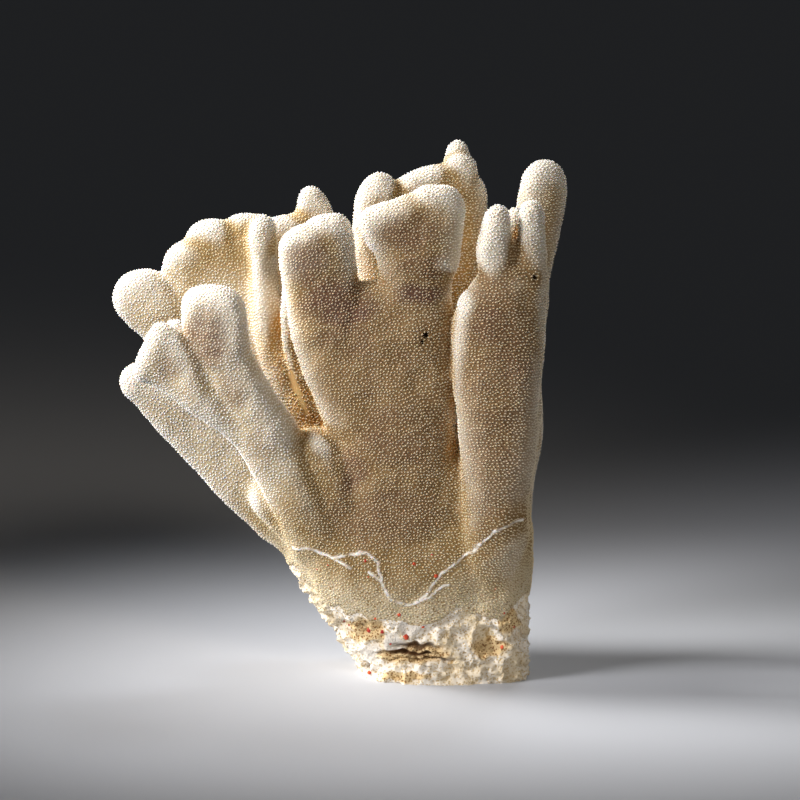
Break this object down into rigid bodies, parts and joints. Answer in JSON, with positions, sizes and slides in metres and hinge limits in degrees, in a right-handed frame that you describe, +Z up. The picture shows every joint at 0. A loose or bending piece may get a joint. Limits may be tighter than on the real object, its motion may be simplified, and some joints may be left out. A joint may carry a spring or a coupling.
{
  "type": "coral skeleton",
  "caption": "Dry cat's paw coral skeleton: flattened finger-tipped paws fanning up from a crusted reef-rock foot cut off flat below.",
  "frame": {"origin": "the middle of the flat cut under the foot", "axes": "+Z up along the growth, -Y towards the viewer in front of the broad paws, +X to the viewer's right"},
  "size_m": [0.1586, 0.0893, 0.1837],
  "materials": {
    "coral_skeleton": "matt, rough with small cups",
    "reef_crust": "matt, porous and pitted"
  },
  "bodies": {
    "root": {"reef_foot": "reef_crust", "trunk": "coral_skeleton", "centre_front_paw": "coral_skeleton", "right_front_column": "coral_skeleton", "left_front_paw": "coral_skeleton", "low_left_fin": "coral_skeleton", "left_rear_fan": "coral_skeleton", "rear_finger_fan": "coral_skeleton", "rear_centre_paw": "coral_skeleton", "right_rear_column": "coral_skeleton", "rear_low_paw": "coral_skeleton", "rear_left_paw": "coral_skeleton", "rear_right_finger": "coral_skeleton"}
  },
  "joints": []
}
